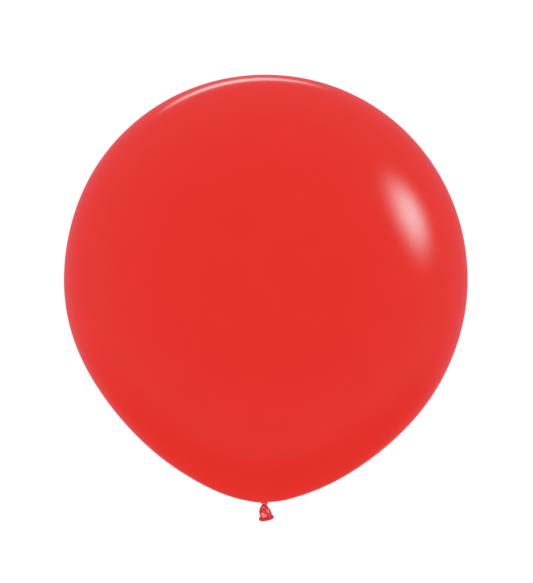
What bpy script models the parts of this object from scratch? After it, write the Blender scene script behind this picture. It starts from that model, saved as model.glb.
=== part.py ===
"""A giant round latex balloon, blown up, tied with an overhand knot and held tail down.

Metres, +Z up. The origin is the middle of the throat, at the lowest point of the blown-up body,
where its film gathers into the neck. The front of the balloon faces -Y. Neighbouring pieces are
one dipped skin on the real balloon. Here they are separate solids, 0.2 to 0.6 mm apart.
"""

from math import cos, exp, pi, sin

import bmesh
import bpy
from mathutils import Vector

# Body of the balloon, its outline and the small lean that makes the two sides differ
EQUATOR_RADIUS = 0.4572
EQUATOR_HEIGHT = 0.5036
CROWN_HEIGHT = 0.9697
CROWN_ROUNDNESS_UP = 0.2649
CROWN_ROUNDNESS_ACROSS = 0.2536
BASE_ROUNDNESS_DOWN = 0.2933
BASE_ROUNDNESS_ACROSS = 0.1526
FILM_WALL = 0.0010
BODY_SHIFT = 0.0041
BODY_SHIFT_HEIGHT = 0.060
BELLY_BULGE = 0.0045
BELLY_HEIGHT = 0.210
BELLY_REACH = 0.125
CROWN_SHIFT = 0.0013
CROWN_SHIFT_START = 0.600
CROWN_SHIFT_END = 0.800
BODY_SEGMENTS = 64
CROWN_RINGS = 10
BASE_RINGS = 12

# Gathered neck and knot
SEAT_GAP = 0.0003
NECK_CORE_RADIUS = 0.0030
NECK_CORE_TOP = 0.0060
NECK_CORE_BOTTOM = -0.0120
NECK_CORE_GATHERS = 5
NECK_CORE_GATHER_DEPTH = 0.0003
KNOT_HALF_HEIGHT = 0.0026
KNOT_HALF_WIDTH = 0.00230
KNOT_SIDE_LOBE = 0.00035
KNOT_TWIN_LOBE = 0.00030
KNOT_SLANT = 0.0003
KNOT_SEGMENTS = 28
KNOT_SECTION_SIDES = 10

# Mouth of the neck: the plane, the oval and the thickness of its rolled bead
MOUTH_CENTRE = Vector((0.0053, 0.0040, -0.0368))
MOUTH_RISE_TO_RIGHT = 0.174
MOUTH_RISE_TO_BACK = 0.250
MOUTH_HALF_WIDTH = 0.01505
MOUTH_HALF_DEPTH = 0.0108
BEAD_HALF_THICKNESS = 0.0022
BEAD_HALF_HEIGHT = 0.0031
BEAD_SEGMENTS = 40
BEAD_SIDES = 8

# Tail between knot and mouth: height, shift to the right, half width, half depth and pleat depth
TAIL_WALL = 0.0010
TAIL_TUCK = 0.0010
TAIL_TUCK_GAP = 0.0004
TAIL_PLEATS = 7
TAIL_SIDES_PER_PLEAT = 6
TAIL_RINGS_PER_SPAN = 2
TAIL_STATIONS = (
    (-0.0066, 0.0006, 0.0056, 0.0052, 0.00),
    (-0.0113, 0.0009, 0.0085, 0.0070, 0.07),
    (-0.0168, 0.0015, 0.0117, 0.0088, 0.08),
    (-0.0225, 0.0026, 0.0136, 0.0100, 0.06),
    (-0.0287, 0.0040, 0.0137, 0.0100, 0.03),
    (-0.0323, 0.0047, 0.0130, 0.0089, 0.01),
)

LATEX_RED = (0.791, 0.033, 0.025)
TIED_LATEX_RED = (0.640, 0.022, 0.022)


def latex(name, colour, roughness):
    """Opaque balloon latex: a glossy dielectric."""
    material = bpy.data.materials.new(name)
    material.use_nodes = True
    shader = material.node_tree.nodes["Principled BSDF"]
    shader.inputs["Base Color"].default_value = (*colour, 1.0)
    shader.inputs["Roughness"].default_value = roughness
    shader.inputs["Metallic"].default_value = 0.0
    return material


def finish(name, mesh_edit, material):
    """Turn an edited mesh into a smooth-shaded object whose faces point outwards."""
    bmesh.ops.recalc_face_normals(mesh_edit, faces=mesh_edit.faces)
    mesh = bpy.data.meshes.new(name)
    mesh_edit.to_mesh(mesh)
    mesh_edit.free()
    mesh.shade_smooth()
    mesh.materials.append(material)
    piece = bpy.data.objects.new(name, mesh)
    bpy.context.collection.objects.link(piece)
    return piece


def thicken(piece, wall):
    """Give a sheet its wall, on the inner side, so that the sheet stays the outer surface."""
    solidify = piece.modifiers.new("wall", "SOLIDIFY")
    solidify.thickness = wall
    solidify.offset = -1.0
    solidify.use_even_offset = True


def smooth_step(value):
    """Rise from 0 to 1 with level ends."""
    value = min(max(value, 0.0), 1.0)
    return value * value * (3.0 - 2.0 * value)


def bezier(start, start_handle, end_handle, end, share):
    """Point at a share of the way along a cubic curve in (radius, height)."""
    rest = 1.0 - share
    weights = (rest**3, 3 * rest**2 * share, 3 * rest * share**2, share**3)
    corners = (start, start_handle, end_handle, end)
    return tuple(sum(w * c[axis] for w, c in zip(weights, corners)) for axis in (0, 1))


def body_outline():
    """Half outline of the blown-up body, from the crown round to the edge of the throat hole."""
    crown = (0.0, CROWN_HEIGHT)
    crown_handle = (CROWN_ROUNDNESS_ACROSS, CROWN_HEIGHT)
    above_equator = (EQUATOR_RADIUS, EQUATOR_HEIGHT + CROWN_ROUNDNESS_UP)
    equator = (EQUATOR_RADIUS, EQUATOR_HEIGHT)
    below_equator = (EQUATOR_RADIUS, EQUATOR_HEIGHT - BASE_ROUNDNESS_DOWN)
    base_handle = (BASE_ROUNDNESS_ACROSS, 0.0)
    base = (0.0, 0.0)
    points = [
        bezier(crown, crown_handle, above_equator, equator, step / CROWN_RINGS)
        for step in range(CROWN_RINGS)
    ]
    points += [
        bezier(equator, below_equator, base_handle, base, step / BASE_RINGS)
        for step in range(BASE_RINGS)
    ]
    points.append((NECK_CORE_RADIUS + SEAT_GAP, 0.0))
    return points


def body_lean(height):
    """How far the middle of the body lies to the right of the throat at a height."""
    bulge = BELLY_BULGE * exp(-(((height - BELLY_HEIGHT) / BELLY_REACH) ** 2))
    crown_share = (height - CROWN_SHIFT_START) / (CROWN_SHIFT_END - CROWN_SHIFT_START)
    lean = BODY_SHIFT + bulge - CROWN_SHIFT * smooth_step(crown_share)
    return lean * smooth_step(height / BODY_SHIFT_HEIGHT)


def make_envelope(material):
    """Blown-up body: the outline turned into a sheet, leaned, then given the film's wall."""
    sheet = bmesh.new()
    outline = [sheet.verts.new((radius, 0.0, height)) for radius, height in body_outline()]
    edges = [sheet.edges.new(pair) for pair in zip(outline, outline[1:])]
    bmesh.ops.spin(
        sheet,
        geom=outline + edges,
        cent=(0, 0, 0),
        axis=(0, 0, 1),
        angle=2 * pi,
        steps=BODY_SEGMENTS,
    )
    bmesh.ops.remove_doubles(sheet, verts=sheet.verts, dist=0.00005)
    for vert in sheet.verts:
        vert.co.x += body_lean(vert.co.z)
    envelope = finish("envelope", sheet, material)
    thicken(envelope, FILM_WALL)


def loft(mesh_edit, rings, close_ends=False, join_last_to_first=False):
    """Skin a run of rings that all have the same number of points."""
    rows = [[mesh_edit.verts.new(point) for point in ring] for ring in rings]
    pairs = list(zip(rows, rows[1:]))
    if join_last_to_first:
        pairs.append((rows[-1], rows[0]))
    for row, next_row in pairs:
        for index in range(len(row)):
            following = (index + 1) % len(row)
            mesh_edit.faces.new((row[index], row[following], next_row[following], next_row[index]))
    if close_ends:
        mesh_edit.faces.new(rows[0])
        mesh_edit.faces.new(rows[-1])


def make_gathered_neck(material):
    """Neck squeezed to a cord: a lightly fluted bar with rounded ends."""
    sides = 4 * NECK_CORE_GATHERS
    rounding = NECK_CORE_RADIUS / 2
    heights_and_scales = (
        (NECK_CORE_TOP, 0.5),
        (NECK_CORE_TOP - rounding / 2, 0.85),
        (NECK_CORE_TOP - rounding, 1.0),
        (NECK_CORE_BOTTOM + rounding, 1.0),
        (NECK_CORE_BOTTOM + rounding / 2, 0.85),
        (NECK_CORE_BOTTOM, 0.5),
    )
    rings = []
    for height, scale in heights_and_scales:
        ring = []
        for side in range(sides):
            angle = 2 * pi * side / sides
            flute = NECK_CORE_GATHER_DEPTH * (1 - cos(NECK_CORE_GATHERS * angle)) / 2
            radius = scale * (NECK_CORE_RADIUS - flute)
            ring.append((radius * cos(angle), radius * sin(angle), height))
        rings.append(ring)
    bar = bmesh.new()
    loft(bar, rings, close_ends=True)
    finish("gathered_neck", bar, material)


def make_knot(material):
    """Overhand wrap: a fat closed roll round the gathered neck, slanted down to the right.

    It has a lobe on each side, and the right one is larger."""
    middle_height = -SEAT_GAP - KNOT_SLANT - KNOT_HALF_HEIGHT
    rings = []
    for segment in range(KNOT_SEGMENTS):
        angle = 2 * pi * segment / KNOT_SEGMENTS
        half_width = KNOT_HALF_WIDTH + KNOT_SIDE_LOBE * cos(angle) + KNOT_TWIN_LOBE * cos(2 * angle)
        roll_radius = NECK_CORE_RADIUS + SEAT_GAP + half_width
        roll_height = middle_height - KNOT_SLANT * cos(angle)
        section = []
        for side in range(KNOT_SECTION_SIDES):
            turn = 2 * pi * side / KNOT_SECTION_SIDES
            radius = roll_radius + half_width * cos(turn)
            height = roll_height + KNOT_HALF_HEIGHT * sin(turn)
            section.append((radius * cos(angle), radius * sin(angle), height))
        rings.append(section)
    roll = bmesh.new()
    loft(roll, rings, join_last_to_first=True)
    finish("knot", roll, material)


def mouth_normal():
    """Direction from the mouth back up into the neck."""
    return Vector((-MOUTH_RISE_TO_RIGHT, -MOUTH_RISE_TO_BACK, 1.0)).normalized()


def smooth_stations(stations, steps):
    """Points on a smooth curve through the stations, with a few steps in each span."""
    padded = [stations[0], *stations, stations[-1]]
    points = []
    for before, start, end, after in zip(padded, padded[1:], padded[2:], padded[3:]):
        for step in range(steps):
            t = step / steps
            points.append(
                tuple(
                    0.5
                    * (
                        2 * b
                        + (c - a) * t
                        + (2 * a - 5 * b + 4 * c - d) * t**2
                        + (3 * b - a - 3 * c + d) * t**3
                    )
                    for a, b, c, d in zip(before, start, end, after)
                )
            )
    points.append(stations[-1])
    return points


def make_neck_tail(material):
    """Free end of the neck: a pleated bell, open at both ends, that tips over to its mouth.

    Its lower edge runs down inside the bead, as the film does before it rolls up."""
    edge_centre = MOUTH_CENTRE - mouth_normal() * TAIL_TUCK
    inset = BEAD_HALF_THICKNESS + TAIL_TUCK_GAP
    edge_half_width = MOUTH_HALF_WIDTH - inset
    edge_half_depth = MOUTH_HALF_DEPTH - inset
    edge = (edge_centre.z, edge_centre.x, edge_half_width, edge_half_depth, 0.0)
    stations = smooth_stations((*TAIL_STATIONS, edge), TAIL_RINGS_PER_SPAN)
    top = stations[0][0]
    sides = TAIL_PLEATS * TAIL_SIDES_PER_PLEAT
    rings = []
    for height, shift, half_width, half_depth, pleat in stations:
        way_down = (top - height) / (top - edge_centre.z)
        tip = way_down**2
        ring = []
        for side in range(sides):
            angle = 2 * pi * side / sides
            swell = 1.0 + pleat * cos(TAIL_PLEATS * angle + pi / 2)
            across = half_width * swell * cos(angle)
            back = half_depth * swell * sin(angle)
            lift = tip * (MOUTH_RISE_TO_RIGHT * across + MOUTH_RISE_TO_BACK * back)
            ring.append((shift + across, edge_centre.y * tip + back, height + lift))
        rings.append(ring)
    bell = bmesh.new()
    loft(bell, rings)
    neck_tail = finish("neck_tail", bell, material)
    thicken(neck_tail, TAIL_WALL)


def make_rolled_rim(material):
    """Bead of rolled film round the mouth: an oval ring in the tipped plane of the mouth."""
    rings = []
    for segment in range(BEAD_SEGMENTS):
        angle = 2 * pi * segment / BEAD_SEGMENTS
        across = MOUTH_HALF_WIDTH * cos(angle)
        back = MOUTH_HALF_DEPTH * sin(angle)
        rise = MOUTH_RISE_TO_RIGHT * across + MOUTH_RISE_TO_BACK * back
        centre = MOUTH_CENTRE + Vector((across, back, rise))
        along = Vector((-MOUTH_HALF_WIDTH * sin(angle), MOUTH_HALF_DEPTH * cos(angle), 0.0))
        along.z = MOUTH_RISE_TO_RIGHT * along.x + MOUTH_RISE_TO_BACK * along.y
        outward = along.cross(mouth_normal()).normalized()
        rings.append(
            [
                centre
                + outward * BEAD_HALF_THICKNESS * cos(2 * pi * side / BEAD_SIDES)
                + mouth_normal() * BEAD_HALF_HEIGHT * sin(2 * pi * side / BEAD_SIDES)
                for side in range(BEAD_SIDES)
            ]
        )
    bead = bmesh.new()
    loft(bead, rings, join_last_to_first=True)
    finish("rolled_rim", bead, material)


def build():
    for item in list(bpy.data.objects):
        bpy.data.objects.remove(item, do_unlink=True)
    make_envelope(latex("blown_latex", LATEX_RED, 0.22))
    make_gathered_neck(latex("gathered_latex", TIED_LATEX_RED, 0.30))
    make_knot(latex("knotted_latex", TIED_LATEX_RED, 0.26))
    make_neck_tail(latex("slack_latex", TIED_LATEX_RED, 0.26))
    make_rolled_rim(latex("rolled_latex", TIED_LATEX_RED, 0.30))


build()
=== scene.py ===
"""Looks of a giant round latex balloon, blown up, tied with an overhand knot and held tail down.

The pieces follow the balloon from the crown down: the blown-up envelope, the gathered neck, the
knot, the slack bell below the knot and the rolled bead round its mouth. Metres, +Z up, and the
origin is the middle of the throat.
"""

from math import atan2, cos, exp, hypot, pi, radians, sin, sqrt

import bmesh
import bpy
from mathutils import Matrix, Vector


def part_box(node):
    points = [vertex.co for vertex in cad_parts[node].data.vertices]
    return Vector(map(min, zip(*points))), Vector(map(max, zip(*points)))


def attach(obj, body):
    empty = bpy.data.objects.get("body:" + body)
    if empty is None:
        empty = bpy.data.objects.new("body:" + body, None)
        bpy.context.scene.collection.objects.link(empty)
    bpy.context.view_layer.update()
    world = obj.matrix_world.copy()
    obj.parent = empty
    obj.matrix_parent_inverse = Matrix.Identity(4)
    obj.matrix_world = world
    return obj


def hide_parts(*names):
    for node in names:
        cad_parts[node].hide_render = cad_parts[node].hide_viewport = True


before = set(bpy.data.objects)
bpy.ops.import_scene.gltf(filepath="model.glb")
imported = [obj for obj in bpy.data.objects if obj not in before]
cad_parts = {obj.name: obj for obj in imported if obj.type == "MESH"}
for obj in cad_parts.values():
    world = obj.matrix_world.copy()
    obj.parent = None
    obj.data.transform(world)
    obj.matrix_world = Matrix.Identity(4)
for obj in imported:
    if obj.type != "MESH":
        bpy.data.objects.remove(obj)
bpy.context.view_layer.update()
bpy.ops.object.select_all(action="DESELECT")

# Camera: level, a long way off with a long lens, a little below the widest part of the body.
# The lens makes the body as wide as it is in the photograph's frame of 533 by 583 pixels.
envelope_low, envelope_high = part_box("envelope")
body_radius = (envelope_high.y - envelope_low.y) / 2
CAMERA_DISTANCE = 4.5
SENSOR_HEIGHT = 36.0
IMAGE_HEIGHT_PX = 583
IMAGE_CENTRE_PX = (266.5, 291.5)
THROAT_PX = (264.0, 501.95)
BODY_WIDTH_PX = 403.9
focal_px = BODY_WIDTH_PX / 2 * sqrt(CAMERA_DISTANCE**2 - body_radius**2) / body_radius
metres_per_px = CAMERA_DISTANCE / focal_px
camera_x = (IMAGE_CENTRE_PX[0] - THROAT_PX[0]) * metres_per_px
camera_z = (THROAT_PX[1] - IMAGE_CENTRE_PX[1]) * metres_per_px
bpy.ops.object.camera_add(
    location=(camera_x, -CAMERA_DISTANCE, camera_z),
    rotation=(radians(90), 0, 0),
)
camera = bpy.context.object
camera.data.sensor_width = SENSOR_HEIGHT
camera.data.lens = focal_px * SENSOR_HEIGHT / IMAGE_HEIGHT_PX
bpy.context.scene.camera = camera
bpy.context.scene.view_settings.view_transform = "Standard"


# Studio: a white room that lights the balloon evenly from all round. Mirror reflections see a dim
# red glow in its place, as when flags keep the white walls off a glossy ball. The glow is palest
# at the sides, and low behind the balloon it is as red as the latex.
def hex_colour(code):
    """Linear colour of an sRGB hex code."""
    parts = (int(code[i : i + 2], 16) / 255 for i in (1, 3, 5))
    return tuple(p / 12.92 if p <= 0.04045 else ((p + 0.055) / 1.055) ** 2.4 for p in parts) + (1.0,)


def add_node(tree, kind, inputs=None, **settings):
    """Add a node, set its properties, and fill its inputs with values or with linked sockets."""
    node = tree.nodes.new(kind)
    for name, value in settings.items():
        setattr(node, name, value)
    for name, value in (inputs or {}).items():
        if isinstance(value, bpy.types.NodeSocket):
            tree.links.new(value, node.inputs[name])
        else:
            node.inputs[name].default_value = value
    return node


ROOM_BRIGHTNESS = 1.05
GLOW_FRONT = hex_colour("#FF6867")
GLOW_SIDE = hex_colour("#ED8080")
GLOW_BACK = hex_colour("#E96E76")
GLOW_LOW = hex_colour("#E94743")
# Where one glow passes into the next. Seen from the balloon, -1 is straight to the front and 1
# straight to the back. The low glow goes by that number times the one from -1, down, to 1, up.
FRONT_TO_SIDE = (-0.9, 0.0)
SIDE_TO_BACK = (0.2, 0.8)
BACK_TO_LOW = (-0.08, -0.40)
world = bpy.data.worlds.new("white_room")
bpy.context.scene.world = world
world.cycles.sampling_method = "NONE"
world.use_nodes = True
room = world.node_tree
room.nodes.clear()
look = add_node(room, "ShaderNodeTexCoord")
look_parts = add_node(room, "ShaderNodeSeparateXYZ", {"Vector": look.outputs["Generated"]})
to_side = add_node(
    room,
    "ShaderNodeMapRange",
    {"Value": look_parts.outputs["Y"], "From Min": FRONT_TO_SIDE[0], "From Max": FRONT_TO_SIDE[1]},
    interpolation_type="SMOOTHSTEP",
)
front_glow = add_node(
    room,
    "ShaderNodeMix",
    {"Factor": to_side.outputs["Result"], "A": GLOW_FRONT, "B": GLOW_SIDE},
    data_type="RGBA",
)
to_back = add_node(
    room,
    "ShaderNodeMapRange",
    {"Value": look_parts.outputs["Y"], "From Min": SIDE_TO_BACK[0], "From Max": SIDE_TO_BACK[1]},
    interpolation_type="SMOOTHSTEP",
)
level_glow = add_node(
    room,
    "ShaderNodeMix",
    {"Factor": to_back.outputs["Result"], "A": front_glow.outputs["Result"], "B": GLOW_BACK},
    data_type="RGBA",
)
low_behind = add_node(
    room,
    "ShaderNodeMath",
    {0: look_parts.outputs["Y"], 1: look_parts.outputs["Z"]},
    operation="MULTIPLY",
)
to_low = add_node(
    room,
    "ShaderNodeMapRange",
    {"Value": low_behind.outputs["Value"], "From Min": BACK_TO_LOW[0], "From Max": BACK_TO_LOW[1]},
    interpolation_type="SMOOTHSTEP",
)
behind = add_node(
    room,
    "ShaderNodeMath",
    {0: look_parts.outputs["Y"], 1: 0.0},
    operation="GREATER_THAN",
)
low_share = add_node(
    room,
    "ShaderNodeMath",
    {0: to_low.outputs["Result"], 1: behind.outputs["Value"]},
    operation="MULTIPLY",
)
glow_colour = add_node(
    room,
    "ShaderNodeMix",
    {"Factor": low_share.outputs["Value"], "A": level_glow.outputs["Result"], "B": GLOW_LOW},
    data_type="RGBA",
)
white = add_node(
    room, "ShaderNodeBackground", {"Color": (1, 1, 1, 1), "Strength": ROOM_BRIGHTNESS}
)
glow = add_node(room, "ShaderNodeBackground", {"Color": glow_colour.outputs["Result"]})
ray = add_node(room, "ShaderNodeLightPath")
choice = add_node(room, "ShaderNodeMixShader", {0: ray.outputs["Is Glossy Ray"], 1: white.outputs[0]})
room.links.new(glow.outputs[0], choice.inputs[2])
add_node(room, "ShaderNodeOutputWorld", {"Surface": choice.outputs[0]})

# Floor: matte white paper, well below the floating balloon.
FLOOR_HEIGHT = -1.0
FLOOR_SIZE = 60.0
PAPER_WHITE = (0.98, 0.98, 0.98, 1.0)
PAPER_ROUGHNESS = 0.9
bpy.ops.mesh.primitive_plane_add(size=FLOOR_SIZE, location=(0, 0, FLOOR_HEIGHT))
floor = bpy.context.object
floor.name = "paper_floor"
paper = bpy.data.materials.new("white_paper")
paper.use_nodes = True
paper_shader = paper.node_tree.nodes["Principled BSDF"]
paper_shader.inputs["Base Color"].default_value = PAPER_WHITE
paper_shader.inputs["Roughness"].default_value = PAPER_ROUGHNESS
paper_shader.inputs["Specular IOR Level"].default_value = 0.0
floor.data.materials.append(paper)
floor.visible_glossy = False

# Lamps: a soft box on the right and a long strip above and behind, which the film mirrors as a
# soft oval and a thin arc. Each is brightest in its middle and fades to its edge. They light by
# reflection alone, because the room gives the even light.
LAMP_SPREAD = 2.4


def add_lamp(
    name,
    mirrored_at,
    direction,
    distance,
    half_width,
    half_height,
    brightness,
    fade,
    tint,
    only_on=None,
    diffuse=False,
):
    """Add a soft panel that shines back at the spot on the balloon that mirrors it.

    The half width and half height are where it has faded to half its brightness, and a larger
    fade makes its edge steeper. Where only_on is given, it lights the pieces of that collection
    alone. Where diffuse is true, it lights their colour as well as their gloss.
    """
    panel = bpy.data.lights.new(name, "AREA")
    panel.shape = "RECTANGLE"
    panel.size = 2 * half_width * LAMP_SPREAD
    panel.size_y = 2 * half_height * LAMP_SPREAD
    panel.energy = brightness * pi * panel.size * panel.size_y
    panel.color = tint
    panel.use_nodes = True
    lamp = bpy.data.objects.new(name, panel)
    bpy.context.collection.objects.link(lamp)
    towards = Vector(direction).normalized()
    lamp.location = Vector(mirrored_at) + towards * distance
    lamp.rotation_euler = towards.to_track_quat("Z", "Y").to_euler()
    lamp.visible_camera = False
    lamp.visible_diffuse = diffuse
    tree = panel.node_tree
    place = add_node(tree, "ShaderNodeTexCoord", object=lamp).outputs["Object"]
    oval = add_node(
        tree,
        "ShaderNodeVectorMath",
        {0: place, 1: (1 / half_width, 1 / half_height, 0)},
        operation="MULTIPLY",
    )
    out = add_node(tree, "ShaderNodeVectorMath", {0: oval.outputs["Vector"]}, operation="LENGTH")
    steep = add_node(tree, "ShaderNodeMath", {0: out.outputs["Value"], 1: fade}, operation="POWER")
    level = add_node(tree, "ShaderNodeMath", {0: 0.5, 1: steep.outputs["Value"]}, operation="POWER")
    tree.links.new(level.outputs["Value"], tree.nodes["Emission"].inputs["Strength"])
    lamp.light_linking.receiver_collection = only_on


add_lamp(
    "side_soft_box",
    mirrored_at=(0.306, -0.312, 0.639),
    direction=(0.910, 0.131, 0.393),
    distance=3.0,
    half_width=0.49,
    half_height=0.59,
    brightness=6.8,
    fade=2.3,
    tint=(0.41, 0.975, 1.0),
)
add_lamp(
    "back_strip",
    mirrored_at=(-0.064, -0.149, 0.931),
    direction=(-0.089, 0.855, 0.511),
    distance=3.0,
    half_width=0.79,
    half_height=0.15,
    brightness=1.90,
    fade=6.0,
    tint=(0.58, 1.0, 0.98),
)


# Envelope: the blown-up body, one seamless skin of natural rubber latex. It is dipped on a former,
# cured, and blown to about 3.5 times its slack width, so it is smooth, taut and glossy. The crown
# stretches least and is a shade denser, and the film draws into fine gathers at the throat.
CROWN_HEIGHT = 0.9697
EQUATOR_HEIGHT = 0.5036
CROWN_ROUNDNESS_UP = 0.2649
CROWN_ROUNDNESS_ACROSS = 0.2536
BASE_ROUNDNESS_DOWN = 0.2933
BASE_ROUNDNESS_ACROSS = 0.1526
OUTLINE_STEPS = 56
BODY_STEPS = 240
FILM_WALL = 0.0003
WELD = 0.00005


def edit(piece):
    """Make a piece the only one selected, and open it for editing."""
    bpy.ops.object.select_all(action="DESELECT")
    piece.select_set(True)
    bpy.context.view_layer.objects.active = piece
    bpy.ops.object.mode_set(mode="EDIT")


def close_edit():
    """Leave the piece that is open for editing."""
    bpy.ops.object.mode_set(mode="OBJECT")


def select_verts(piece, wanted):
    """Select the open piece's points that pass a test on their place."""
    bpy.ops.mesh.select_mode(type="VERT")
    bpy.ops.mesh.select_all(action="DESELECT")
    mesh_edit = bmesh.from_edit_mesh(piece.data)
    for vert in mesh_edit.verts:
        vert.select_set(bool(wanted(vert.co)))
    mesh_edit.select_flush(True)
    bmesh.update_edit_mesh(piece.data)


bpy.ops.curve.primitive_bezier_curve_add(location=(0, 0, 0))
envelope = bpy.context.object
envelope.name = "envelope_film"
outline = envelope.data.splines[0]
outline.bezier_points.add(1)
outline_points = (
    ((0, CROWN_HEIGHT), (-CROWN_ROUNDNESS_ACROSS, 0), (CROWN_ROUNDNESS_ACROSS, 0)),
    ((body_radius, EQUATOR_HEIGHT), (0, CROWN_ROUNDNESS_UP), (0, -BASE_ROUNDNESS_DOWN)),
    ((0, 0), (BASE_ROUNDNESS_ACROSS, 0), (-BASE_ROUNDNESS_ACROSS, 0)),
)
for point, (place, before, after) in zip(outline.bezier_points, outline_points):
    point.handle_left_type = point.handle_right_type = "FREE"
    point.co = (place[0], 0, place[1])
    point.handle_left = (place[0] + before[0], 0, place[1] + before[1])
    point.handle_right = (place[0] + after[0], 0, place[1] + after[1])
envelope.data.resolution_u = OUTLINE_STEPS
bpy.ops.object.convert(target="MESH")
edit(envelope)
bpy.ops.mesh.select_all(action="SELECT")
bpy.ops.mesh.spin(steps=BODY_STEPS, angle=2 * pi, center=(0, 0, 0), axis=(0, 0, 1))
bpy.ops.mesh.select_all(action="SELECT")
bpy.ops.mesh.remove_doubles(threshold=WELD)

# The film turns down at the throat and goes into the knot: the pole is opened, and its edge is
# drawn in and down, one small step after another.
THROAT_OPENING = 0.0085
THROAT_STEPS = ((0.0064, -0.0002), (0.0052, -0.0009), (0.0043, -0.0020), (0.0037, -0.0032))
select_verts(envelope, lambda co: co.z < EQUATOR_HEIGHT and hypot(co.x, co.y) < THROAT_OPENING)
bpy.ops.mesh.delete(type="VERT")
bpy.ops.mesh.select_all(action="DESELECT")
bpy.ops.mesh.select_mode(type="EDGE")
bpy.ops.mesh.select_non_manifold(extend=False, use_wire=False, use_multi_face=False, use_verts=False)
rim_points = [v.co.copy() for v in bmesh.from_edit_mesh(envelope.data).verts if v.select]
rim_radius = sum(hypot(co.x, co.y) for co in rim_points) / len(rim_points)
rim_height = sum(co.z for co in rim_points) / len(rim_points)
for radius, height in THROAT_STEPS:
    bpy.ops.mesh.extrude_region_move(
        TRANSFORM_OT_translate={"value": (0, 0, height - rim_height)}
    )
    shrink = radius / rim_radius
    bpy.ops.transform.resize(value=(shrink, shrink, 1), center_override=(0, 0, height))
    rim_radius, rim_height = radius, height
bpy.ops.mesh.select_all(action="SELECT")
bpy.ops.mesh.normals_make_consistent(inside=False)
close_edit()

# The body leans a little to its right, most at the belly, and its film has gathers at the throat.
BODY_SHIFT = 0.0041
BODY_SHIFT_HEIGHT = 0.060
BELLY_BULGE = 0.0045
BELLY_HEIGHT = 0.210
BELLY_REACH = 0.125
CROWN_SHIFT = 0.0013
CROWN_SHIFT_START = 0.600
CROWN_SHIFT_END = 0.800
GATHER_DEPTH = 0.00030
GATHER_REACH = 0.018
# Gathers: three runs of waves, each with its count round the throat, its start and its share.
GATHER_WAVES = ((27, 0.0, 1.0), (17, 1.3, 0.6), (38, 0.4, 0.4))
# Soft sags beside the throat: place across and back, reach, and depth.
BASE_SAGS = ((-0.0135, -0.018, 0.011, 0.0011), (0.049, -0.018, 0.011, 0.0007))


def smooth_step(value):
    """Rise from 0 to 1 with level ends."""
    value = min(max(value, 0.0), 1.0)
    return value * value * (3.0 - 2.0 * value)


def body_lean(height):
    """How far the middle of the body lies to the right of the throat at a height."""
    bulge = BELLY_BULGE * exp(-(((height - BELLY_HEIGHT) / BELLY_REACH) ** 2))
    crown_share = (height - CROWN_SHIFT_START) / (CROWN_SHIFT_END - CROWN_SHIFT_START)
    lean = BODY_SHIFT + bulge - CROWN_SHIFT * smooth_step(crown_share)
    return lean * smooth_step(height / BODY_SHIFT_HEIGHT)


for vert in envelope.data.vertices:
    if vert.co.z < BODY_SHIFT_HEIGHT:
        reach = hypot(vert.co.x, vert.co.y)
        turn = atan2(vert.co.y, vert.co.x)
        waves = sum(share * cos(count * turn + start) for count, start, share in GATHER_WAVES)
        vert.co.z += GATHER_DEPTH * waves * exp(-reach / GATHER_REACH)
        for across, back, sag_reach, depth in BASE_SAGS:
            away = hypot(vert.co.x - across, vert.co.y - back) / sag_reach
            vert.co.z -= depth * exp(-(away**2))
    vert.co.x += body_lean(vert.co.z)


# Lamps that are aimed at the tied end light these pieces alone, and not the glossy body. The
# small pieces stay out of the film's mirror image too.
tied_end = bpy.data.collections.new("tied_end")
knot_alone = bpy.data.collections.new("knot_alone")


def apply_modifier(piece, kind, **settings):
    """Add a modifier, set it and apply it at once."""
    bpy.ops.object.select_all(action="DESELECT")
    piece.select_set(True)
    bpy.context.view_layer.objects.active = piece
    modifier = piece.modifiers.new(kind.lower(), kind)
    for name, value in settings.items():
        setattr(modifier, name, value)
    bpy.ops.object.modifier_apply(modifier=modifier.name)


def dress(piece, material, node):
    """Shade a finished piece smooth, paint it, and let it stand for its node in the frame."""
    piece.data.shade_smooth()
    piece.data.materials.clear()
    piece.data.materials.append(material)
    piece.visible_glossy = node == "envelope"
    if node in ("knot", "neck_tail"):
        tied_end.objects.link(piece)
    if node == "knot":
        knot_alone.objects.link(piece)
    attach(piece, "root")
    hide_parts(node)


apply_modifier(envelope, "SOLIDIFY", thickness=FILM_WALL, offset=-1.0, use_even_offset=True)

# Blown latex: natural rubber, opaque red, dipped and stretched. The eye sees an even deep colour,
# a soft gloss, and hardly any grain, only faint clouds where the film is thicker.
LATEX_IOR = 1.52
LATEX_RED = hex_colour("#E22B22")
LATEX_RED_DENSE = hex_colour("#DF2921")
FILM_ROUGHNESS = 0.13
CLOUD_SIZE = 0.090
CLOUD_FAINTEST = 0.35
CLOUD_DENSEST = 0.65
CLOUD_SHARE = 0.5
DENSE_CROWN_START = 0.93
DENSE_CROWN_FULL = 0.97
DENSE_CROWN_SHARE = 0.5
GRAIN_SIZE = 0.0012
GRAIN_DEPTH = 0.00002
GRAIN_STRENGTH = 0.05


def latex_base(name, roughness):
    """Start a latex material, and return it with its node tree, its shader and a place input."""
    material = bpy.data.materials.new(name)
    material.use_nodes = True
    tree = material.node_tree
    shader = tree.nodes["Principled BSDF"]
    shader.inputs["IOR"].default_value = LATEX_IOR
    shader.inputs["Roughness"].default_value = roughness
    place = add_node(tree, "ShaderNodeTexCoord").outputs["Object"]
    return material, tree, shader, place


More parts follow.
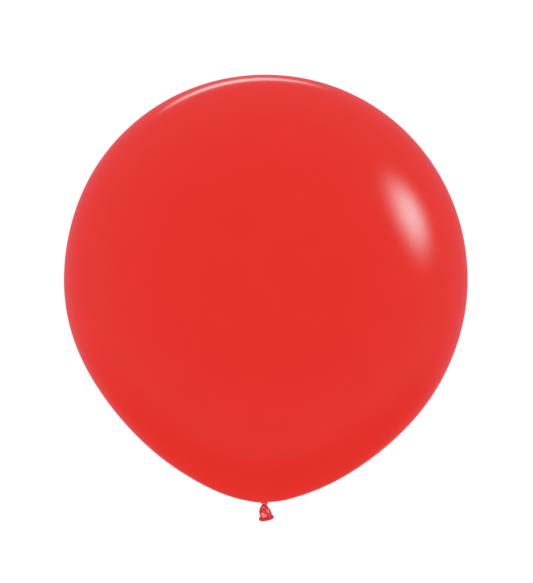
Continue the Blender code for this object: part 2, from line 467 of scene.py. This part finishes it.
blown_latex, tree, shader, place = latex_base("blown_dipped_latex", FILM_ROUGHNESS)
clouds = add_node(
    tree,
    "ShaderNodeTexNoise",
    {"Vector": place, "Scale": 1 / CLOUD_SIZE, "Detail": 3.0, "Roughness": 0.5},
)
thickness = add_node(
    tree,
    "ShaderNodeMapRange",
    {
        "Value": clouds.outputs["Fac"],
        "From Min": CLOUD_FAINTEST,
        "From Max": CLOUD_DENSEST,
        "To Max": CLOUD_SHARE,
    },
)
heights = add_node(tree, "ShaderNodeSeparateXYZ", {"Vector": place})
crown = add_node(
    tree,
    "ShaderNodeMapRange",
    {
        "Value": heights.outputs["Z"],
        "From Min": DENSE_CROWN_START,
        "From Max": DENSE_CROWN_FULL,
        "To Max": DENSE_CROWN_SHARE,
    },
    interpolation_type="SMOOTHSTEP",
)
density = add_node(
    tree,
    "ShaderNodeMath",
    {0: thickness.outputs["Result"], 1: crown.outputs["Result"]},
    operation="ADD",
)
film_colour = add_node(
    tree,
    "ShaderNodeMix",
    {"Factor": density.outputs["Value"], "A": LATEX_RED, "B": LATEX_RED_DENSE},
    data_type="RGBA",
)
tree.links.new(film_colour.outputs["Result"], shader.inputs["Base Color"])
grain = add_node(tree, "ShaderNodeTexNoise", {"Vector": place, "Scale": 1 / GRAIN_SIZE})
skin = add_node(
    tree,
    "ShaderNodeBump",
    {"Height": grain.outputs["Fac"], "Strength": GRAIN_STRENGTH, "Distance": GRAIN_DEPTH},
)
tree.links.new(skin.outputs["Normal"], shader.inputs["Normal"])
dress(envelope, blown_latex, "envelope")


# Gathered neck: the slack neck squeezed to a pleated cord where the knot holds it. It is the same
# dipped skin, unstretched, so it is thicker and a deeper red.
NECK_RADIUS = 0.0030
NECK_PLEATS = 9
NECK_SIDES_PER_PLEAT = 4
NECK_TOP = 0.0060
NECK_BOTTOM = -0.0120
NECK_STEPS = 18
NECK_TWIST = radians(70)
NECK_PLEAT_DEPTH = 0.12
NECK_END_SHARE = 0.45
NECK_END_TAPER = 4.0
bpy.ops.mesh.primitive_circle_add(
    vertices=NECK_PLEATS * NECK_SIDES_PER_PLEAT,
    radius=NECK_RADIUS,
    fill_type="NGON",
    location=(0, 0, NECK_TOP),
)
neck = bpy.context.object
neck.name = "gathered_throat"
bpy.ops.object.transform_apply(location=True, rotation=True, scale=True)
edit(neck)
bpy.ops.mesh.select_all(action="SELECT")
neck_step = (NECK_BOTTOM - NECK_TOP) / NECK_STEPS
for _ in range(NECK_STEPS):
    bpy.ops.mesh.extrude_region_move(TRANSFORM_OT_translate={"value": (0, 0, neck_step)})
bpy.ops.mesh.select_all(action="SELECT")
bpy.ops.mesh.normals_make_consistent(inside=False)
close_edit()
for vert in neck.data.vertices:
    turn = atan2(vert.co.y, vert.co.x)
    way_down = (NECK_TOP - vert.co.z) / (NECK_TOP - NECK_BOTTOM)
    to_end = min(way_down, 1.0 - way_down)
    end_taper = min(1.0, NECK_END_SHARE + NECK_END_TAPER * to_end)
    pleat = 1.0 - NECK_PLEAT_DEPTH * (0.5 - 0.5 * cos(NECK_PLEATS * turn))
    radius = NECK_RADIUS * end_taper * pleat
    twist = turn + NECK_TWIST * way_down
    vert.co.x = radius * cos(twist)
    vert.co.y = radius * sin(twist)

# Slack latex: the same dipped rubber where it is not stretched, about ten times thicker than the
# blown film. The eye sees a deeper red with a soft inner glow, wet-looking gloss and fine creases.
SLACK_RED = hex_colour("#D83638")
SLACK_RED_DEEP = hex_colour("#C62A2C")
GLOW_SHARE = 0.12
GLOW_SPREAD = (1.0, 0.12, 0.08)
GLOW_REACH = 0.0006
CREASE_SIZE = 0.0011
CREASE_DEPTH = 0.0002
MOTTLE_SIZE = 0.004


def slack_latex(name, roughness, crease_strength, stretch):
    """Slack latex with fine creases, which run along the way that the pattern is stretched."""
    material, tree, shader, place = latex_base(name, roughness)
    shader.inputs["Subsurface Weight"].default_value = GLOW_SHARE
    shader.inputs["Subsurface Radius"].default_value = GLOW_SPREAD
    shader.inputs["Subsurface Scale"].default_value = GLOW_REACH
    mottle = add_node(
        tree, "ShaderNodeTexNoise", {"Vector": place, "Scale": 1 / MOTTLE_SIZE, "Detail": 2.0}
    )
    colour = add_node(
        tree,
        "ShaderNodeMix",
        {"Factor": mottle.outputs["Fac"], "A": SLACK_RED_DEEP, "B": SLACK_RED},
        data_type="RGBA",
    )
    tree.links.new(colour.outputs["Result"], shader.inputs["Base Color"])
    drawn = add_node(tree, "ShaderNodeMapping", {"Vector": place, "Scale": stretch})
    creases = add_node(
        tree,
        "ShaderNodeTexNoise",
        {"Vector": drawn.outputs["Vector"], "Scale": 1 / CREASE_SIZE, "Detail": 2.0},
    )
    skin = add_node(
        tree,
        "ShaderNodeBump",
        {"Height": creases.outputs["Fac"], "Strength": crease_strength, "Distance": CREASE_DEPTH},
    )
    tree.links.new(skin.outputs["Normal"], shader.inputs["Normal"])
    return material


gathered_latex = slack_latex(
    "gathered_slack_latex", roughness=0.30, crease_strength=0.50, stretch=(1, 1, 0.15)
)
dress(neck, gathered_latex, "gathered_neck")


# Knot: an overhand knot in the neck. The neck is wound once round itself and its end is pulled
# through, so it shows a fat roll with two lobes that meet in a nip at the front.
KNOT_POINTS = 140
KNOT_MIDDLE = -0.0027
KNOT_SHIFT = 0.0005
KNOT_DROP = 0.0009
KNOT_WRAP_RADIUS = 0.0059
KNOT_TUCK_RADIUS = 0.0026
KNOT_STRAND_RADIUS = 0.0025
KNOT_RIGHT_SWELL = 0.08
KNOT_TUCK_THINNING = 0.10
KNOT_NIP_ANGLE = radians(-94)
KNOT_OPEN_ANGLE = radians(20)
KNOT_TUCK_SHARE = 0.13
KNOT_PLEATS = 9
KNOT_SIDES_PER_PLEAT = 10
KNOT_PLEAT_DEPTH = 0.13
KNOT_TWIST = 5.0
KNOT_VOXEL = 0.00017
KNOT_SMOOTHING = 0.5
KNOT_SMOOTHING_ROUNDS = 3

# The strand's outline is a circle with broad ridges and narrow valleys.
bpy.ops.mesh.primitive_circle_add(
    vertices=KNOT_PLEATS * KNOT_SIDES_PER_PLEAT, radius=1.0, fill_type="NOTHING"
)
strand_profile = bpy.context.object
strand_profile.name = "strand_profile"
for vert in strand_profile.data.vertices:
    turn = atan2(vert.co.y, vert.co.x)
    vert.co *= 1.0 - KNOT_PLEAT_DEPTH * abs(sin(KNOT_PLEATS * turn / 2)) ** 3
bpy.ops.object.convert(target="CURVE")

# The strand comes out of the middle, goes once round, and is tucked back into the middle.
bpy.ops.curve.primitive_nurbs_path_add()
knot = bpy.context.object
knot.name = "overhand_knot"
knot.data.splines.clear()
wrap = knot.data.splines.new("POLY")
wrap.points.add(KNOT_POINTS - 1)
for index, point in enumerate(wrap.points):
    share = index / (KNOT_POINTS - 1)
    turn = KNOT_NIP_ANGLE - KNOT_OPEN_ANGLE / 2 - (2 * pi - KNOT_OPEN_ANGLE) * share
    tuck = smooth_step(min(share, 1.0 - share) / KNOT_TUCK_SHARE)
    reach = KNOT_TUCK_RADIUS + (KNOT_WRAP_RADIUS - KNOT_TUCK_RADIUS) * tuck
    drop = KNOT_DROP * (share - 0.5)
    point.co = (KNOT_SHIFT + reach * cos(turn), reach * sin(turn), KNOT_MIDDLE - drop, 1.0)
    lobe = 1.0 + KNOT_RIGHT_SWELL * cos(turn) - KNOT_TUCK_THINNING * (1.0 - tuck)
    point.radius = KNOT_STRAND_RADIUS * lobe
    point.tilt = KNOT_TWIST * share
knot.data.bevel_mode = "OBJECT"
knot.data.bevel_object = strand_profile
knot.data.use_fill_caps = True
bpy.ops.object.select_all(action="DESELECT")
knot.select_set(True)
bpy.context.view_layer.objects.active = knot
bpy.ops.object.convert(target="MESH")
bpy.data.objects.remove(strand_profile)
apply_modifier(knot, "REMESH", mode="VOXEL", voxel_size=KNOT_VOXEL, use_smooth_shade=True)
apply_modifier(knot, "SMOOTH", factor=KNOT_SMOOTHING, iterations=KNOT_SMOOTHING_ROUNDS)
knotted_latex = slack_latex(
    "knotted_slack_latex", roughness=0.42, crease_strength=0.35, stretch=(1, 1, 1)
)
dress(knot, knotted_latex, "knot")


# Bell: the free end of the neck below the knot, slack, hollow and open below. It fans out from
# the knot in uneven folds, bellies out, and is creased across where it draws in to its bead.
BELL_SIDES = 128
BELL_RING_GAP = 0.00055
BELL_WALL = 0.0006
MOUTH_CENTRE = Vector((0.0053, 0.0040, -0.0368))
MOUTH_RISE_TO_RIGHT = 0.174
MOUTH_RISE_TO_BACK = 0.250
# Height, shift to the right, half width and half depth of the bell, from the knot down.
BELL_STATIONS = (
    (-0.0052, 0.0005, 0.0046, 0.0042),
    (-0.0066, 0.0007, 0.0057, 0.0051),
    (-0.0088, 0.0008, 0.0069, 0.0061),
    (-0.0113, 0.0008, 0.0086, 0.0070),
    (-0.0140, 0.0010, 0.0104, 0.0080),
    (-0.0168, 0.0015, 0.0118, 0.0089),
    (-0.0197, 0.0021, 0.0130, 0.0096),
    (-0.0225, 0.0026, 0.0137, 0.0101),
    (-0.0256, 0.0033, 0.0139, 0.0103),
    (-0.0287, 0.0040, 0.0138, 0.0101),
    (-0.0308, 0.0044, 0.0134, 0.0096),
    (-0.0323, 0.0047, 0.0129, 0.0090),
    (-0.0345, 0.0050, 0.0127, 0.0086),
    (-0.0378, 0.0053, 0.0127, 0.0086),
)
# Folds: the way they face, their half width in degrees, where they start, run deepest and end
# below the throat, how far they turn on the way down, and how deep they press in. A fold with a
# negative depth is a ridge that stands out.
BELL_FOLDS = (
    (-82, 11, 0.005, 0.0108, 0.0266, -33, 0.0008),
    (-110, 16, 0.005, 0.0062, 0.0212, -20, -0.0014),
    (-62, 17, 0.005, 0.0061, 0.0146, -3, -0.0004),
    (-138, 12, 0.005, 0.0125, 0.0241, -8, 0.0003),
    (-59, 18, 0.006, 0.0170, 0.0320, -12, 0.0006),
    (-36, 15, 0.005, 0.0120, 0.0210, 0, -0.0010),
    (-160, 12, 0.006, 0.015, 0.028, -8, 0.0010),
    (38, 15, 0.005, 0.014, 0.028, 10, 0.0013),
    (92, 13, 0.005, 0.012, 0.025, -12, 0.0012),
    (148, 14, 0.006, 0.015, 0.030, 8, 0.0012),
)
# Creases across: the height they sit at, the way they face, half width in degrees, and depth.
BELL_CREASES = (
    (-0.0143, -104, 14, 0.0005),
    (-0.0246, -125, 23, 0.0003),
    (-0.0286, -112, 30, 0.0007),
    (-0.0293, -51, 35, 0.0005),
    (-0.0335, -95, 50, 0.0009),
    (-0.0305, 95, 60, 0.0005),
)
CREASE_HALF_HEIGHT = 0.0007


def along(stations, height):
    """Values of a run of stations at a height, on a smooth curve through them."""
    last = len(stations) - 1
    index = next((i for i in range(last) if stations[i + 1][0] <= height), last - 1)
    before, above = stations[max(index - 1, 0)], stations[index]
    below, after = stations[index + 1], stations[min(index + 2, last)]
    gap = below[0] - above[0]
    share = min(max((height - above[0]) / gap, 0.0), 1.0)
    values = []
    for a, b, c, d in zip(before[1:], above[1:], below[1:], after[1:]):
        slope_above = gap * (c - a) / (below[0] - before[0])
        slope_below = gap * (d - b) / (after[0] - above[0])
        rise = share**2 * (3 - 2 * share)
        bend = share * (1 - share) ** 2 * slope_above - share**2 * (1 - share) * slope_below
        values.append(b + (c - b) * rise + bend)
    return values


def angle_between(first, second):
    """Smallest angle between two directions, in degrees."""
    return abs((first - second + 180) % 360 - 180)


def bell_press(turn, height):
    """How far folds and creases press the bell in at a direction and a height."""
    depth_below = -height
    press = 0.0
    for facing, half_width, start, deepest, stop, twist, depth in BELL_FOLDS:
        if start < depth_below < stop:
            rise = smooth_step((depth_below - start) / (deepest - start))
            fall = smooth_step((stop - depth_below) / (stop - deepest))
            centre = facing + twist * (depth_below - start) / (stop - start)
            press += depth * rise * fall * exp(-((angle_between(turn, centre) / half_width) ** 2))
    for level, facing, half_width, depth in BELL_CREASES:
        reach = exp(-((angle_between(turn, facing) / half_width) ** 4))
        press += depth * reach * exp(-(((height - level) / CREASE_HALF_HEIGHT) ** 2))
    return press


bell_top = BELL_STATIONS[0][0]
bell_bottom = BELL_STATIONS[-1][0]
bell_rings = round((bell_top - bell_bottom) / BELL_RING_GAP)
bell_step = (bell_bottom - bell_top) / bell_rings
bpy.ops.mesh.primitive_circle_add(
    vertices=BELL_SIDES,
    radius=1.0,
    fill_type="NOTHING",
    location=(0, 0, bell_top),
)
bell = bpy.context.object
bell.name = "slack_bell"
bpy.ops.object.transform_apply(location=True, rotation=True, scale=True)
edit(bell)
bpy.ops.mesh.select_all(action="SELECT")
for _ in range(bell_rings):
    bpy.ops.mesh.extrude_region_move(TRANSFORM_OT_translate={"value": (0, 0, bell_step)})
bpy.ops.mesh.select_all(action="SELECT")
bpy.ops.mesh.subdivide(number_cuts=1)
bpy.ops.mesh.normals_make_consistent(inside=False)
close_edit()
for vert in bell.data.vertices:
    height = vert.co.z
    shift, half_width, half_depth = along(BELL_STATIONS, height)
    turn = atan2(vert.co.y, vert.co.x)
    press = bell_press(turn * 180 / pi, height)
    across = (half_width - press) * cos(turn)
    back = (half_depth - press) * sin(turn)
    tip = ((bell_top - height) / (bell_top - bell_bottom)) ** 2
    lift = tip * (MOUTH_RISE_TO_RIGHT * across + MOUTH_RISE_TO_BACK * back)
    vert.co = (shift + across, MOUTH_CENTRE.y * tip + back, height + lift)
apply_modifier(bell, "SOLIDIFY", thickness=BELL_WALL, offset=-1.0, use_even_offset=True)
pleated_latex = slack_latex(
    "pleated_slack_latex", roughness=0.20, crease_strength=0.20, stretch=(1, 1, 0.2)
)
dress(bell, pleated_latex, "neck_tail")


# Bead: the rim of the neck, rolled up on itself on the outside while the latex was still tacky.
# It is a fat oval ring, tipped down to the left and the front, with the edge of its last turn
# showing as a fine step.
MOUTH_HALF_WIDTH = 0.01505
MOUTH_HALF_DEPTH = 0.0108
BEAD_HALF_THICKNESS = 0.0022
BEAD_HALF_HEIGHT = 0.0031
BEAD_STEPS = 72
BEAD_SIDES = 16
BEAD_SMOOTH_LEVELS = 2
# Uneven rolling: how often the bead swells round the ring, where the swelling starts, and by how
# much of its height.
BEAD_SWELLS = ((3, 0.5, 0.05), (5, -pi / 2, 0.04))
# The edge of the last turn, in radians up from the bead's outermost line: where the surface steps
# in, where it comes back out, and how deep the step is as a share of the thickness.
BEAD_STEP_IN = (-0.2, 0.3)
BEAD_STEP_OUT = (0.4, 2.6)
BEAD_STEP_DEPTH = 0.10
bpy.ops.mesh.primitive_torus_add(
    major_segments=BEAD_STEPS,
    minor_segments=BEAD_SIDES,
    major_radius=MOUTH_HALF_WIDTH,
    minor_radius=BEAD_HALF_THICKNESS,
)
bead = bpy.context.object
bead.name = "rolled_bead"
for vert in bead.data.vertices:
    turn = atan2(vert.co.y, vert.co.x)
    outward = hypot(vert.co.x, vert.co.y) - MOUTH_HALF_WIDTH
    around = atan2(vert.co.z, outward)
    swell = 1.0 + sum(share * cos(count * turn + start) for count, start, share in BEAD_SWELLS)
    step_in = smooth_step((around - BEAD_STEP_IN[0]) / (BEAD_STEP_IN[1] - BEAD_STEP_IN[0]))
    step_out = smooth_step((around - BEAD_STEP_OUT[0]) / (BEAD_STEP_OUT[1] - BEAD_STEP_OUT[0]))
    step = 1.0 - BEAD_STEP_DEPTH * step_in * (1.0 - step_out)
    outward = BEAD_HALF_THICKNESS * cos(around) * step
    height = BEAD_HALF_HEIGHT * sin(around) * swell * step
    across = (MOUTH_HALF_WIDTH + outward) * cos(turn)
    back = (MOUTH_HALF_DEPTH + outward) * sin(turn)
    lift = MOUTH_RISE_TO_RIGHT * across + MOUTH_RISE_TO_BACK * back
    tilted = (across - MOUTH_RISE_TO_RIGHT * height, back - MOUTH_RISE_TO_BACK * height, lift + height)
    vert.co = MOUTH_CENTRE + Vector(tilted)
apply_modifier(bead, "SUBSURF", levels=BEAD_SMOOTH_LEVELS, render_levels=BEAD_SMOOTH_LEVELS)
rolled_latex = slack_latex(
    "rolled_slack_latex", roughness=0.42, crease_strength=0.30, stretch=(1, 1, 1)
)
dress(bead, rolled_latex, "rolled_rim")

# Lamps on the tied end: a broad panel low in front, one on the left and one on the right. Only the
# knot and the bell catch them. A fourth, in front, fills the shade of the body on the knot.
add_lamp(
    "tied_end_low_panel",
    mirrored_at=(-0.001, -0.008, -0.027),
    direction=(-0.36, -0.64, -0.68),
    distance=1.0,
    half_width=0.72,
    half_height=0.36,
    brightness=12.8,
    fade=4.0,
    tint=(1.0, 0.90, 0.78),
    only_on=tied_end,
)
add_lamp(
    "tied_end_left_panel",
    mirrored_at=(-0.002, -0.006, -0.010),
    direction=(-0.553, -0.778, 0.298),
    distance=1.2,
    half_width=0.32,
    half_height=0.19,
    brightness=9.0,
    fade=4.0,
    tint=(1.0, 0.72, 0.62),
    only_on=tied_end,
)
add_lamp(
    "tied_end_right_panel",
    mirrored_at=(0.006, -0.008, -0.019),
    direction=(0.80, -0.55, 0.23),
    distance=1.2,
    half_width=0.46,
    half_height=0.36,
    brightness=10.0,
    fade=4.0,
    tint=(1.0, 0.42, 0.42),
    only_on=tied_end,
)
add_lamp(
    "knot_fill",
    mirrored_at=(0.0, -0.008, -0.003),
    direction=(-0.15, -0.92, -0.36),
    distance=1.0,
    half_width=0.30,
    half_height=0.30,
    brightness=8.5,
    fade=4.0,
    tint=(1.0, 0.90, 0.80),
    only_on=knot_alone,
    diffuse=True,
)
